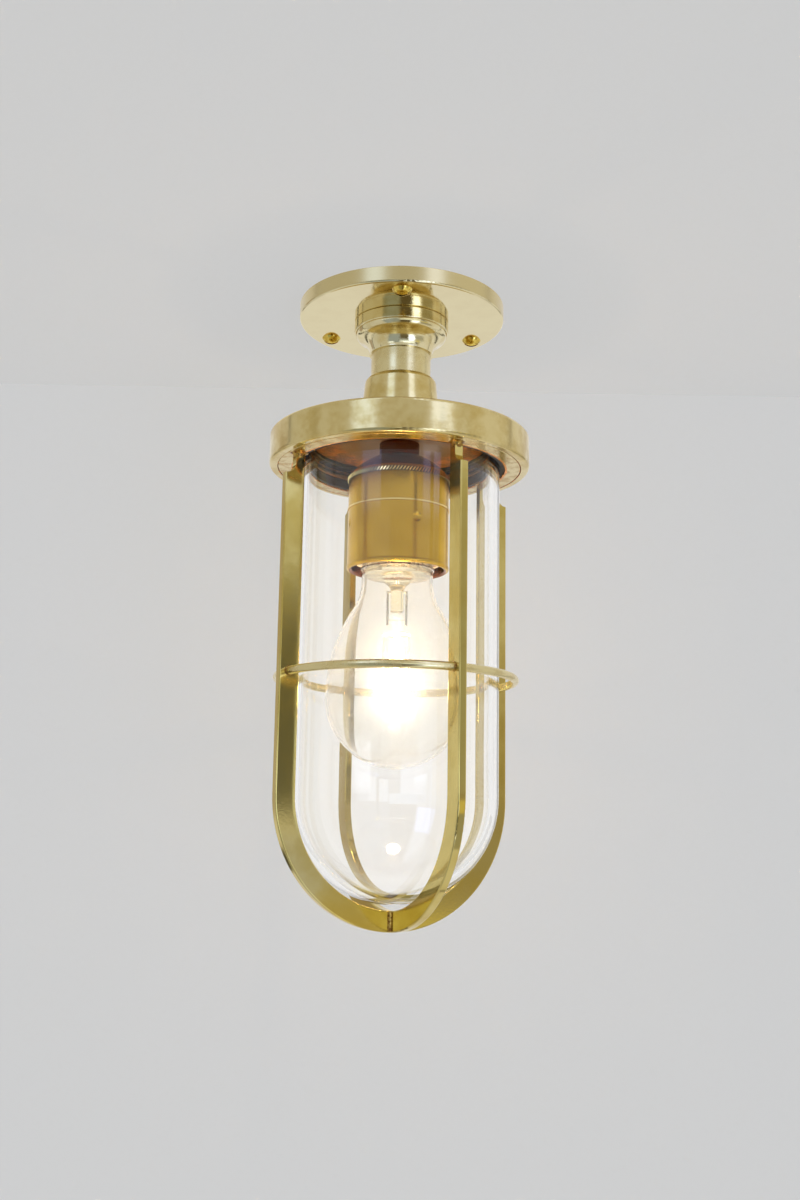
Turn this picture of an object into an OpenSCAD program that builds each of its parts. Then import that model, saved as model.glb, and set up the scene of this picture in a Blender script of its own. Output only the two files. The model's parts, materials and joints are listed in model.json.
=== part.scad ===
// Well glass ceiling light in polished brass, in millimetres.
// The origin is the centre of the ceiling plate's top face, +Z points up into the ceiling,
// and the front of the light faces -Y. Everything hangs below z = 0 except the screw shanks.

/* [Ceiling plate] */
// Diameter of the ceiling plate
plate_d = 83; // [78:1:120]
// Thickness of the ceiling plate
plate_t = 6.4; // [4:0.2:10]
// Radius on the plate's lower edge
plate_edge_r = 0.9; // [0.3:0.1:1.8]
// Circle that the fixing screws stand on
screw_pcd = 68; // [60:1:69]
// Number of fixing screws
screw_count = 3; // [2:1:6]
// Diameter of a fixing screw's plain shank and of its thread's crests
screw_d = 4; // [3:0.5:5]
// Diameter at the root of a fixing screw's thread
screw_root_d = 2.8; // [2:0.1:3.4]
// Length of a fixing screw under its head
screw_length = 25; // [16:1:40]
// Head diameter of a fixing screw
screw_head_d = 7.8; // [6.5:0.1:9]
// Head height of a fixing screw
screw_head_h = 2.5; // [1.8:0.1:3.2]
// Radial clearance of a shank in its hole
screw_clearance = 0.25; // [0.1:0.05:0.5]

/* [Hub and neck] */
// Diameter of the hub's band, where it meets the plate
hub_d = 38.2; // [34:0.2:42]
// Height of the hub's straight band
hub_band_h = 4.8; // [3:0.2:8]
// Height of the hub's ogee, below its band
hub_ogee_h = 9.2; // [7:0.2:12]
// Radius of the hub's shoulder, the round upper part of its ogee
hub_shoulder_r = 3; // [1:0.2:5]
// Diameter of the neck that shows between the hub and the gallery
neck_d = 24.1; // [22:0.1:27]
// Length of the neck that shows
neck_length = 10.2; // [6:0.2:20]
// Thread diameter at both ends of the neck tube
neck_thread_d = 20; // [17:0.5:21]
// Length of the neck's thread inside the gallery's boss
neck_thread_length = 10; // [6:0.5:12]
// Bore of the neck tube, where the supply cable comes in
cable_bore_d = 13; // [8:0.5:14]

/* [Gallery] */
// Thickness of the gallery's crown
crown_t = 2.9; // [2.2:0.1:3.4]
// Wall of the gallery's threaded skirt
skirt_wall = 3.3; // [2.4:0.1:4]
// Radius on the gallery's outer edges
gallery_edge_r = 1.3; // [0.5:0.1:2]
// Diameter of the boss on the gallery, just under its round shoulder
boss_d = 29; // [27.6:0.2:32]
// Height of the boss above the crown
boss_h = 24.8; // [21:0.2:32]
// Radius of the sweep from the boss into the crown
boss_sweep_r = 11; // [6:0.5:12]

/* [Guard] */
// Width of the guard ring, from its bore to its thread
ring_w = 6.2; // [5.6:0.1:9]
// Clear space between the glass and the guard ring's bore
ring_bore_gap = 2.2; // [1.6:0.1:2.6]
// Thickness of the guard ring's lip under the glass
ring_lip_t = 2.7; // [2:0.1:3]
// Radial clearance of the thread between the guard ring and the gallery
ring_thread_gap = 0.1; // [0.05:0.01:0.1]
// Depth of a guard bar, measured outwards from the glass
bar_depth = 8; // [6:0.2:9]
// Thickness of a guard bar
bar_t = 3.3; // [2.4:0.1:5]
// Radius on a guard bar's long edges
bar_edge_r = 0.5; // [0.2:0.05:0.8]
// Clear space between the glass and the guard bars
guard_gap = 2; // [1.2:0.1:3]
// Turn of the guard from the front, seen from below
guard_turn = 28.7; // [0:0.1:90]
// Width left of a bar at its notched neck, under the ring
bar_neck_w = 3.8; // [3:0.1:5]
// Drop from the ring's face to the shoulder of a bar
bar_neck_h = 8.4; // [6:0.2:12]
// Wire diameter of the guard's hoop
hoop_wire_d = 3.2; // [2.4:0.1:4]
// Drop from the ring's face to the middle of the hoop
hoop_drop = 84.4; // [50:0.2:120]

/* [Glass] */
// Outside diameter of the well glass
glass_d = 80; // [74:0.5:96]
// Wall of the well glass
glass_wall = 3.8; // [2.5:0.1:5]
// Drop from the ring's face to the centre of the glass's round end
glass_drop = 129.7; // [124:0.1:180]
// Thickness of the glass's flange
flange_t = 4.4; // [3.5:0.1:5]
// Clear space between the glass's flange and the guard ring round it
flange_gap = 0.7; // [0.4:0.1:1.2]
// Thickness of the rubber gasket under the crown
crown_gasket_t = 1.6; // [1:0.1:2]
// Thickness of the rubber seat under the flange
seat_t = 1.6; // [1.4:0.1:2]

/* [Lampholder] */
// Outside diameter of the lampholder's shell
holder_d = 40; // [39:0.5:44]
// Height of the lampholder, from the crown to its lower rim
holder_h = 51.9; // [51:0.1:56]
// Wall of the lampholder's cap and shell
holder_wall = 1; // [0.8:0.1:1.2]
// Drop from the crown to the lampholder's knurled edge
knurl_drop = 14.3; // [13:0.1:16]
// Height of the knurled edge
knurl_h = 1.9; // [1.4:0.1:2.4]
// Drop from the crown to the seam round the shell
seam_drop = 27.5; // [24:0.1:32]
// Diameter of the hollow nipple that carries the lampholder
nipple_d = 10; // [9:0.5:11]
// Bore of the nipple
nipple_bore_d = 7; // [5:0.5:8]

/* [Bulb] */
// Outside diameter of the bulb
bulb_d = 54.4; // [50:0.2:60]
// Length of the bulb below the lampholder's rim
bulb_drop = 77.2; // [74:0.2:84]
// Thread diameter of the bulb's cap
cap_d = 26.2; // [26:0.1:26.4]
// Radial clearance of the cap's thread in the lampholder
cap_thread_gap = 0.08; // [0.05:0.01:0.1]
// Length of the bulb's cap, with its end contact
cap_length = 26.5; // [25:0.1:27]
// Wall of the bulb's glass
bulb_wall = 0.8; // [0.6:0.1:1.2]

/* [Hidden] */
$fn = 96;
eps = 0.01;
cut = 1;

brass = "#c9b160";
warm_brass = "#b8953f";
steel = "#b9bcc0";
ceramic_white = "#e6e2d6";
rubber_black = "#1c1c1c";
clear_glass = [0.85, 0.92, 0.92, 0.35];

// Heights, from the ceiling down. The skirt is as high as what it closes round.
gallery_h = crown_t + crown_gasket_t + flange_t + seat_t + ring_lip_t;
z_plate = -plate_t;
z_hub = z_plate - hub_band_h - hub_ogee_h;
z_boss = z_hub - neck_length;
z_gallery = z_boss - boss_h;
z_crown = z_gallery - crown_t;
z_ring = z_gallery - gallery_h;
z_holder = z_crown - holder_h;
z_glass_centre = z_ring - glass_drop;

screw_tip_h = 4;

// Neck and gallery. The gallery is as wide as the glass, the ring round it and the skirt.
glass_r = glass_d / 2;
ring_bore_r = glass_r + ring_bore_gap;
ring_r = ring_bore_r + ring_w;
skirt_bore_r = ring_r + ring_thread_gap;
gallery_r = skirt_bore_r + skirt_wall;
hub_lip_r = neck_d / 2 + 0.8;
neck_top_gap = 0.4;
thread_r = neck_thread_d / 2;
web_h = 3;
z_web = z_gallery + web_h;
shoulder_h = 2.6;
boss_taper = 1.2;

// Guard and glass. The stack in the gallery runs crown, gasket, flange, seat, ring lip.
ring_wall = 1.7;
ring_recess_r = ring_r - ring_wall;
z_lip = z_ring + ring_lip_t;
z_flange_low = z_lip + seat_t;
z_flange_top = z_flange_low + flange_t;
z_gasket_top = z_flange_top + crown_gasket_t;
ring_top_gap = 0.9;
z_ring_top = z_flange_top - ring_top_gap;
soft_gap = 0.3;
glass_in_r = glass_r - glass_wall;
flange_r = ring_recess_r - flange_gap;
flange_fillet_r = 0.9;
bar_in_r = glass_r + guard_gap;
bar_out_r = bar_in_r + bar_depth;
hoop_r = bar_in_r + bar_depth / 2;
z_hoop = z_ring - hoop_drop;
notch_r = min(bar_depth - bar_neck_w - 0.3, bar_neck_h - 2);

// Lampholder
holder_r = holder_d / 2;
knurl_proud = 0.4;
knurl_r = holder_r + knurl_proud;
z_knurl_top = z_crown - knurl_drop;
z_knurl = z_knurl_top - knurl_h;
z_seam = z_crown - seam_drop;
nipple_r = nipple_d / 2;
cap_boss_r = nipple_r + 3;
cap_boss_h = 4;
shell_thread_r = holder_r - holder_wall;
shell_thread_h = 3.6;
lip_r = 1.1;
seam_h = 0.9;
seam_proud = 0.25;
dimple_count = 4;
dimple_turn = 20.6;
dimple_drop = 6.6;
dimple_depth = 0.5;
dimple_r = 4;

// Bulb and what it touches. The cap's end is flush with the lampholder's rim.
z_cap = z_holder;
z_contact = z_cap + cap_length;
cap_r = cap_d / 2;
liner_r = cap_r + cap_thread_gap;
liner_wall = 0.7;
contact_gap = 0.1;
contact_h = 0.8;
insulator_h = 2.6;
z_insulator = z_contact - contact_h;
z_cap_top = z_insulator - insulator_h;
bulb_r = bulb_d / 2;
bulb_neck_r = 14;
z_bulb = z_holder - bulb_drop;
z_bulb_centre = z_bulb + bulb_r;
bulb_flank_r = 65;
bulb_throat_r = 20;
stem_r = 2.6;
support_x = 3.7;
support_wire_d = 0.9;
z_support_top = z_cap - 8;
stem_flare_h = 6;
stem_length = 8;
capsule_r = 5.4;
capsule_length = 31;
capsule_wall = 0.9;
capsule_pinch_h = 6;
filament_length = 14;
filament_d = 1.6;
capsule_drop = 19.5;
z_capsule = z_cap - capsule_drop;
z_cavity_top = z_capsule - capsule_pinch_h - capsule_wall;

// Ceramic core: a floor with a skirt that holds the screwed liner
core_r = 17;
core_flange_t = 3;
core_top = z_knurl + 1.2;
pocket_h = 3.6;
pocket_r = 11;
z_pocket = z_contact + contact_gap - 0.3;
z_floor = z_pocket + pocket_h;
core_bottom = z_holder + 3.2;
block_w = 5;
block_x = 8.5;
block_h = 3.4;

// Spring tongue: an eye in the pocket, a sloping leaf and a flat pad over the bulb's contact
tongue_reach = 8.5;
tongue_t = 0.5;
tongue_w = 6;
eye_r = 1;
pin_r = 0.5;
pin_gap = 0.05;
pin_length = 18;
pad_r = 2.6;
z_pad = z_contact + contact_gap;
z_eye = z_floor - soft_gap - eye_r;

// A rectangle from the origin with round corners
module round_rect(w, h, r) {
  translate([r, 0])
    square([w - 2 * r, h]);
  translate([0, r])
    square([w, h - 2 * r]);
  for (x = [r, w - r], y = [r, h - r])
    translate([x, y])
      circle(r);
}

// A rectangle in a turned profile, from radius 0 to r, whose outer corners are rounded
module turned_band(r, z_low, z_high, r_low, r_high) {
  corner = max(r_low, r_high);
  translate([0, z_low])
    square([r - corner, z_high - z_low]);
  translate([0, z_low + r_low])
    square([r, z_high - z_low - r_low - r_high]);
  translate([0, z_low])
    square([r - r_low, r_low]);
  translate([0, z_high - r_high])
    square([r - r_high, r_high]);
  translate([r - r_low, z_low + r_low])
    circle(r_low);
  translate([r - r_high, z_high - r_high])
    circle(r_high);
}

// An ogee in a turned profile, filled to the axis: it starts straight down at (x0, z0),
// bulges with the radius r, turns in through a hollow and ends straight down at (x1, z1)
module ogee(x0, z0, x1, z1, r) {
  swing = 2 * atan((x0 - x1) / (z0 - z1));
  hollow_r = (z0 - z1) / sin(swing) - r;
  hollow_h = hollow_r * sin(swing);
  xm = x1 + hollow_r * (1 - cos(swing));
  zm = z1 + hollow_h;
  lap = r / 4;
  intersection() {
    translate([x0 - r, z0])
      circle(r);
    translate([x0 - r, zm])
      square([r, z0 - zm]);
  }
  translate([0, zm])
    square([x0 - r + eps, z0 - zm]);
  difference() {
    translate([0, z1])
      square([xm, hollow_h + lap]);
    translate([x1 + hollow_r, z1])
      circle(hollow_r);
  }
}

module ceiling_plate() {
  color(brass)
    difference() {
      rotate_extrude()
        turned_band(plate_d / 2, z_plate, 0, plate_edge_r, plate_edge_r / 3);
      translate([0, 0, z_plate - cut])
        cylinder(r = thread_r, h = plate_t + 2 * cut);
      at_screws()
        translate([0, 0, z_plate - cut])
          cylinder(d = screw_d + 2 * screw_clearance, h = plate_t + 2 * cut);
    }
}

// Repeats what it is given at each fixing screw, the first one at the front, none turned
module at_screws() {
  for (i = [0 : screw_count - 1]) {
    turn = i * 360 / screw_count - 90;
    translate([screw_pcd / 2 * cos(turn), screw_pcd / 2 * sin(turn), 0])
      children();
  }
}

module plate_screws() {
  color(warm_brass)
    at_screws() {
      translate([0, 0, z_plate - eps])
        cylinder(d = screw_d, h = plate_t + eps);
      translate([0, 0, -eps])
        cylinder(d = screw_root_d, h = screw_length - plate_t - screw_tip_h + eps);
      translate([0, 0, z_plate + screw_length - screw_tip_h - eps])
        cylinder(d1 = screw_root_d, d2 = 0.6, h = screw_tip_h);
      screw_head();
    }
}

// A round head hanging from the plate's underside, with its slot from left to right
module screw_head() {
  head_r = screw_head_d / 2;
  dome_r = (head_r * head_r + screw_head_h * screw_head_h) / 2 / screw_head_h;
  slot_w = 1.1;
  slot_depth = 1.2;
  translate([0, 0, z_plate])
    difference() {
      intersection() {
        translate([0, 0, dome_r - screw_head_h])
          sphere(dome_r);
        translate([0, 0, -screw_head_h])
          cylinder(r = head_r + cut, h = screw_head_h);
      }
      translate([-head_r - cut, -slot_w / 2, -screw_head_h - cut])
        cube([2 * head_r + 2 * cut, slot_w, slot_depth + cut]);
    }
}

module hub() {
  z_band = z_plate - hub_band_h;
  bead_r = 0.5;
  color(brass)
    rotate_extrude()
      difference() {
        union() {
          turned_band(hub_d / 2, z_band, z_plate, bead_r, bead_r);
          ogee(hub_d / 2 - bead_r, z_band, hub_lip_r, z_hub, hub_shoulder_r);
          translate([0, z_band - cut])
            square([hub_lip_r, 2 * cut]);
        }
        translate([-cut, z_hub - cut])
          square([thread_r + cut, hub_band_h + hub_ogee_h + 2 * cut]);
      }
}

module neck_tube() {
  z_end = z_boss - neck_thread_length;
  color(brass)
    difference() {
      union() {
        translate([0, 0, z_boss])
          cylinder(d = neck_d, h = neck_length);
        translate([0, 0, z_end])
          cylinder(r = thread_r, h = -neck_top_gap - z_end);
      }
      translate([0, 0, z_end - cut])
        cylinder(d = cable_bore_d, h = -z_end + 2 * cut);
    }
}

module gallery() {
  color(brass)
    rotate_extrude()
      difference() {
        union() {
          turned_band(gallery_r, z_ring, z_gallery, gallery_edge_r, gallery_edge_r);
          boss_outline();
        }
        translate([-cut, z_web])
          square([thread_r + cut, boss_h]);
        translate([-cut, z_ring - cut])
          square([nipple_r + cut, gallery_h + web_h + 2 * cut]);
        translate([-cut, z_ring - cut])
          square([skirt_bore_r + cut, gallery_h - crown_t + cut]);
      }
}

// The boss in profile: a round shoulder, a slight taper and a sweep into the crown
module boss_outline() {
  boss_r = boss_d / 2;
  foot_r = boss_r + boss_taper;
  z_sweep = z_gallery + boss_sweep_r;
  z_shoulder = z_boss - shoulder_h;
  translate([0, z_shoulder - cut])
    square([boss_r - shoulder_h, shoulder_h + cut]);
  intersection() {
    translate([boss_r - shoulder_h, z_shoulder])
      circle(shoulder_h);
    translate([0, z_shoulder - cut])
      square([boss_r, shoulder_h + cut]);
  }
  polygon([
    [0, z_shoulder], [0, z_sweep - cut], [foot_r, z_sweep - cut], [foot_r, z_sweep],
    [boss_r, z_shoulder]
  ]);
  difference() {
    translate([0, z_gallery - eps])
      square([foot_r + boss_sweep_r, boss_sweep_r + eps]);
    translate([foot_r + boss_sweep_r, z_sweep])
      circle(boss_sweep_r);
  }
}

module nipple() {
  z_low = z_crown - 7;
  proud = 1.5;
  nut_h = 3;
  color(brass)
    translate([0, 0, z_low])
      difference() {
        cylinder(r = nipple_r, h = z_web + nut_h + proud - z_low);
        translate([0, 0, -cut])
          cylinder(d = nipple_bore_d, h = z_web + nut_h + proud - z_low + 2 * cut);
      }
}

module nipple_locknut() {
  nut_h = 3;
  across_flats = 2 * nipple_r + 4;
  color(brass)
    translate([0, 0, z_web])
      difference() {
        cylinder(d = across_flats / cos(30), h = nut_h, $fn = 6);
        translate([0, 0, -cut])
          cylinder(r = nipple_r, h = nut_h + 2 * cut);
      }
}

// The dome between the lampholder's entry and its knurled edge, w inside its outer face
module holder_dome(w) {
  z_spring = z_knurl_top;
  rise = z_crown - cap_boss_h - z_spring - w;
  run = holder_r - w;
  translate([0, 0, z_spring])
    intersection() {
      scale_sphere(run, rise);
      cylinder(r = holder_r, h = rise + cut);
    }
}

// A shallow dome of base radius run and height rise
module scale_sphere(run, rise) {
  r = (run * run + rise * rise) / 2 / rise;
  translate([0, 0, rise - r])
    sphere(r);
}

module holder_cap() {
  color(warm_brass)
    difference() {
      union() {
        holder_dome(0);
        translate([0, 0, z_crown - cap_boss_h - 2])
          cylinder(r = cap_boss_r, h = cap_boss_h + 2);
        translate([0, 0, z_knurl])
          rotate_extrude()
            turned_band(knurl_r, 0, knurl_h, knurl_proud, knurl_proud);
      }
      holder_dome(holder_wall);
      translate([0, 0, z_knurl - cut])
        cylinder(r = shell_thread_r, h = knurl_h + cut + eps);
      translate([0, 0, z_crown - holder_h])
        cylinder(r = nipple_r, h = holder_h + cut);
    }
}

module holder_shell() {
  bore_r = holder_r - holder_wall;
  color(warm_brass)
    difference() {
      rotate_extrude() {
        translate([bore_r, z_holder + lip_r])
          square([holder_wall, z_knurl - z_holder - lip_r]);
        translate([bore_r - holder_wall, z_knurl])
          square([holder_wall, shell_thread_h - 2]);
        translate([bore_r - holder_wall, z_knurl - 1])
          square([holder_wall + 0.5, 1]);
        translate([bore_r, z_seam - seam_h / 2])
          square([holder_wall + seam_proud, seam_h]);
        translate([holder_r + seam_proud - lip_r, z_holder + lip_r])
          circle(lip_r);
      }
      for (i = [0 : dimple_count - 1])
        rotate([0, 0, dimple_turn - 90 + i * 360 / dimple_count])
          translate([holder_r + dimple_r - dimple_depth, 0, z_seam - dimple_drop])
            sphere(dimple_r);
    }
}

module holder_core() {
  flange_fit = 0.1;
  color(ceramic_white)
    difference() {
      union() {
        translate([0, 0, core_bottom])
          cylinder(r = core_r, h = core_top - core_bottom);
        translate([0, 0, z_knurl - 1 - core_flange_t])
          cylinder(r = holder_r - holder_wall - flange_fit, h = core_flange_t);
      }
      translate([0, 0, core_bottom - cut])
        cylinder(r = liner_r + liner_wall, h = z_pocket - core_bottom + cut);
      translate([0, 0, z_pocket - cut])
        cylinder(r = pocket_r, h = pocket_h + cut);
      pin_rod();
    }
}

module thread_liner() {
  inset = 1;
  color(brass)
    translate([0, 0, core_bottom + inset])
      difference() {
        cylinder(r = liner_r + liner_wall, h = z_pocket - core_bottom - inset);
        translate([0, 0, -cut])
          cylinder(r = liner_r, h = z_pocket - core_bottom - inset + 2 * cut);
      }
}

// A terminal block on the core, drilled for its wire, on one side of the middle
module supply_terminal(side) {
  color(brass)
    difference() {
      translate([side * block_x - block_w / 2, -block_w / 2, core_top])
        cube([block_w, block_w, block_h]);
      translate([side * block_x, -block_w, core_top + block_h / 2])
        rotate([-90, 0, 0])
          cylinder(d = 2, h = 2 * block_w);
    }
}

module live_terminal() {
  supply_terminal(-1);
}

module neutral_terminal() {
  supply_terminal(1);
}

module terminal_screws() {
  color(steel)
    for (side = [-1, 1])
      translate([side * block_x, 0, core_top + block_h])
        difference() {
          cylinder(d = 3.6, h = 1);
          translate([-3, -0.35, 0.5])
            cube([6, 0.7, 1]);
        }
}

module earth_terminal() {
  color(brass)
    translate([0, block_x, core_top])
      difference() {
        union() {
          translate([-block_w / 2, -block_w / 2, 0])
            cube([block_w, block_w, block_h - 1]);
          translate([0, 0, block_h - 1 - eps])
            cylinder(d = 3.6, h = 1);
        }
        translate([-3, -0.35, block_h - 0.5])
          cube([6, 0.7, 1]);
      }
}

// The pin stands in the core's walls, across the pocket, and carries the tongue's eye
module contact_pin() {
  color(steel)
    pin_rod();
}

module pin_rod() {
  translate([-tongue_reach, -pin_length / 2, z_eye])
    rotate([-90, 0, 0])
      cylinder(r = pin_r, h = pin_length);
}

module centre_contact() {
  z_leaf = z_pad + tongue_t;
  x_leaf = pin_r + pin_gap + 0.2 - tongue_reach;
  color(warm_brass)
    translate([0, tongue_w / 2, 0])
      rotate([90, 0, 0])
        linear_extrude(tongue_w) {
          translate([-tongue_reach, z_eye])
            difference() {
              circle(eye_r);
              circle(pin_r + pin_gap);
            }
          polygon([
            [x_leaf, z_eye - tongue_t / 2], [-pad_r, z_pad], [pad_r, z_pad], [pad_r, z_leaf],
            [-pad_r, z_leaf], [x_leaf, z_eye + tongue_t / 2]
          ]);
        }
}

module crown_gasket() {
  color(rubber_black)
    translate([0, 0, z_flange_top])
      difference() {
        cylinder(r = flange_r, h = crown_gasket_t);
        translate([0, 0, -cut])
          cylinder(r = glass_in_r + 0.4, h = crown_gasket_t + 2 * cut);
      }
}

module well_glass() {
  color(clear_glass)
    rotate_extrude()
      difference() {
        union() {
          glass_outline(glass_r);
          turned_band(flange_r, z_flange_low, z_flange_top, 0.6, 0.6);
          translate([glass_r - eps, z_flange_low - flange_fillet_r])
            difference() {
              square([flange_fillet_r, flange_fillet_r + eps]);
              translate([flange_fillet_r, 0])
                circle(flange_fillet_r);
            }
        }
        glass_outline(glass_in_r);
        translate([-cut, z_flange_low])
          square([glass_in_r + cut, flange_t + cut]);
      }
}

// The glass in profile: a straight wall on a round end
module glass_outline(r) {
  intersection() {
    translate([0, z_glass_centre])
      circle(r);
    translate([0, z_glass_centre - r])
      square([r, 2 * r]);
  }
  translate([0, z_glass_centre])
    square([r, z_flange_low + flange_t / 2 - z_glass_centre]);
}

// The rubber seat lies on the ring's lip and turns down into its bore
module seat_gasket() {
  in_r = glass_r + soft_gap;
  sleeve_r = ring_bore_r - soft_gap;
  relief = flange_fillet_r + 0.3;
  color(rubber_black)
    rotate_extrude() {
      translate([in_r + relief, z_lip])
        square([flange_r - in_r - relief, seat_t]);
      translate([in_r, z_ring + 0.4])
        square([sleeve_r - in_r, ring_lip_t - 0.4 + seat_t - relief]);
      translate([in_r, z_lip])
        square([sleeve_r - in_r + 1, seat_t - relief]);
    }
}

module guard_ring() {
  edge = 0.6;
  color(brass)
    rotate_extrude()
      difference() {
        turned_band(ring_r, z_ring, z_ring_top, edge, edge);
        translate([-cut, z_ring - cut])
          square([ring_bore_r + cut, ring_lip_t + 2 * cut]);
        translate([-cut, z_lip])
          square([ring_recess_r + cut, z_ring_top - z_lip + cut]);
      }
}

module bar_section() {
  translate([bar_in_r, -bar_t / 2])
    round_rect(bar_depth, bar_t, bar_edge_r);
}

// One guard bar: straight down from the ring, notched at its neck, then a quarter round
module bar_run(sweep) {
  difference() {
    union() {
      translate([0, 0, z_glass_centre])
        linear_extrude(z_ring - z_glass_centre)
          bar_section();
      translate([0, 0, z_glass_centre])
        rotate([-90, 0, 0])
          rotate_extrude(angle = sweep)
            bar_section();
    }
    bar_notch();
  }
}

// The notch takes the outer side of the bar away under the ring, over a hollow fillet
module bar_notch() {
  x_neck = bar_in_r + bar_neck_w;
  z_shoulder = z_ring - bar_neck_h;
  translate([0, bar_t, 0])
    rotate([90, 0, 0])
      linear_extrude(2 * bar_t) {
        translate([x_neck, z_shoulder + notch_r])
          square([bar_depth, bar_neck_h]);
        translate([x_neck + notch_r, z_shoulder])
          square([bar_depth, bar_neck_h]);
        translate([x_neck + notch_r, z_shoulder + notch_r])
          circle(notch_r);
      }
}

module hoop_wire() {
  translate([0, 0, z_hoop])
    rotate_extrude()
      translate([hoop_r, 0])
        circle(d = hoop_wire_d);
}

module guard_arch() {
  color(brass)
    difference() {
      rotate([0, 0, guard_turn]) {
        bar_run(180);
        mirror([1, 0, 0])
          bar_run(0.5);
      }
      hoop_wire();
    }
}

// A leg that ends against the side of the arch, where it is brazed
module guard_leg(turn) {
  color(brass)
    difference() {
      rotate([0, 0, turn])
        difference() {
          bar_run(90);
          translate([-bar_t / 2, -bar_t, z_glass_centre - bar_out_r - cut])
            cube([bar_t, 2 * bar_t, 2 * bar_depth]);
        }
      hoop_wire();
    }
}

module front_leg() {
  guard_leg(guard_turn - 90);
}

module back_leg() {
  guard_leg(guard_turn + 90);
}

module guard_hoop() {
  color(brass)
    hoop_wire();
}

module bulb_contact() {
  color(steel)
    translate([0, 0, z_insulator])
      cylinder(r1 = 4.9, r2 = 4.4, h = contact_h);
}

module bulb_insulator() {
  color(rubber_black)
    translate([0, 0, z_cap_top])
      cylinder(r1 = cap_r - 1.4, r2 = 5, h = insulator_h);
}

module bulb_cap() {
  wall = 0.5;
  skirt_h = 3;
  color(steel)
    rotate_extrude()
      difference() {
        union() {
          translate([0, z_cap + skirt_h])
            square([cap_r, z_cap_top - z_cap - skirt_h]);
          polygon([
            [0, z_cap], [bulb_neck_r + wall, z_cap], [bulb_neck_r + wall, z_cap + 1],
            [cap_r, z_cap + skirt_h], [0, z_cap + skirt_h]
          ]);
        }
        polygon([
          [-cut, z_cap - cut], [bulb_neck_r, z_cap - cut], [bulb_neck_r, z_cap + 0.8],
          [cap_r - wall, z_cap + skirt_h], [cap_r - wall, z_cap_top - wall], [-cut, z_cap_top - wall]
        ]);
      }
}

// The bulb's glass in profile, w inside its outer face: a round end, a long flank and
// a hollow throat into the neck, each tangent to the next
module bulb_outline(w) {
  flank_x = bulb_r - bulb_flank_r;
  throat_x = bulb_neck_r + bulb_throat_r;
  reach = bulb_flank_r + bulb_throat_r;
  z_throat = z_bulb_centre + sqrt(reach * reach - (throat_x - flank_x) * (throat_x - flank_x));
  share = bulb_flank_r / reach;
  x_meet = flank_x + share * (throat_x - flank_x);
  z_meet = z_bulb_centre + share * (z_throat - z_bulb_centre);
  intersection() {
    translate([0, z_bulb_centre])
      circle(bulb_r - w);
    translate([0, z_bulb])
      square([bulb_r, bulb_r]);
  }
  intersection() {
    translate([flank_x, z_bulb_centre])
      circle(bulb_flank_r - w);
    translate([0, z_bulb_centre])
      square([bulb_r, z_meet - z_bulb_centre]);
  }
  difference() {
    translate([0, z_meet])
      square([x_meet, z_cap - z_meet]);
    translate([throat_x, z_throat])
      circle(bulb_throat_r + w);
    translate([bulb_neck_r - w, z_throat])
      square([bulb_throat_r, z_cap - z_throat + cut]);
  }
  for (z = [z_bulb_centre, z_meet])
    translate([0, z - cut])
      square([bulb_neck_r - w - cut, 2 * cut]);
}

module bulb_glass() {
  color(clear_glass)
    rotate_extrude()
      difference() {
        bulb_outline(0);
        bulb_outline(bulb_wall);
      }
}

// Pressed glass foot in the bulb's neck, with a flare that the neck is sealed to
module bulb_stem() {
  z_flare = z_cap - 2.4;
  z_stem = z_flare - stem_flare_h;
  color(clear_glass)
    rotate_extrude() {
      translate([0, z_flare])
        square([bulb_neck_r - bulb_wall - soft_gap, 1.6]);
      ogee(6, z_flare + eps, stem_r, z_stem, 3.5);
      turned_band(stem_r, z_stem - stem_length, z_stem + eps, 0.8, 0.1);
    }
}

// A wire from the side of the glass foot down to the capsule
module support_wire(side) {
  color(steel)
    union() {
      translate([side * support_x, 0, z_capsule - 2])
        cylinder(d = support_wire_d, h = z_support_top - z_capsule + 2);
      translate([0, 0, z_support_top - support_wire_d / 2])
        rotate([0, side * 90, 0])
          translate([0, 0, stem_r])
            cylinder(d = support_wire_d, h = support_x - stem_r + support_wire_d / 2);
    }
}

module left_support() {
  support_wire(-1);
}

module right_support() {
  support_wire(1);
}

module halogen_capsule() {
  pinch_w = 2 * support_x - support_wire_d - 0.1;
  z_low = z_capsule - capsule_length;
  round_r = capsule_r / 2;
  color(clear_glass)
    union() {
      translate([-pinch_w / 2, -1.6, z_capsule - capsule_pinch_h])
        cube([pinch_w, 3.2, capsule_pinch_h]);
      difference() {
        rotate_extrude()
          turned_band(capsule_r, z_low, z_capsule - capsule_pinch_h + 1, round_r, 1);
        translate([0, 0, z_low + capsule_wall])
          cylinder(r = capsule_r - capsule_wall, h = z_cavity_top - z_low - capsule_wall);
      }
    }
}

module filament() {
  color("#fff2cc")
    translate([0, 0, z_cavity_top - filament_length])
      cylinder(d = filament_d, h = filament_length);
}

ceiling_plate();
plate_screws();
hub();
neck_tube();
gallery();
nipple();
nipple_locknut();
holder_cap();
holder_shell();
holder_core();
thread_liner();
live_terminal();
neutral_terminal();
terminal_screws();
earth_terminal();
contact_pin();
centre_contact();
crown_gasket();
well_glass();
seat_gasket();
guard_ring();
guard_arch();
front_leg();
back_leg();
guard_hoop();
bulb_contact();
bulb_glass();
bulb_cap();
bulb_insulator();
bulb_stem();
left_support();
right_support();
halogen_capsule();
filament();
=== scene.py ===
"""Looks of the well glass ceiling light: brass, clear glass, rubber, porcelain and a lit lamp.

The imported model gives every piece's place and size. This script gives each one its
finish, and adds the threads, the knurl, the brazing and the lamp's wires. Lengths in the
panel are in metres, angles are in radians, and colours are linear.
"""

import json
import math

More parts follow.
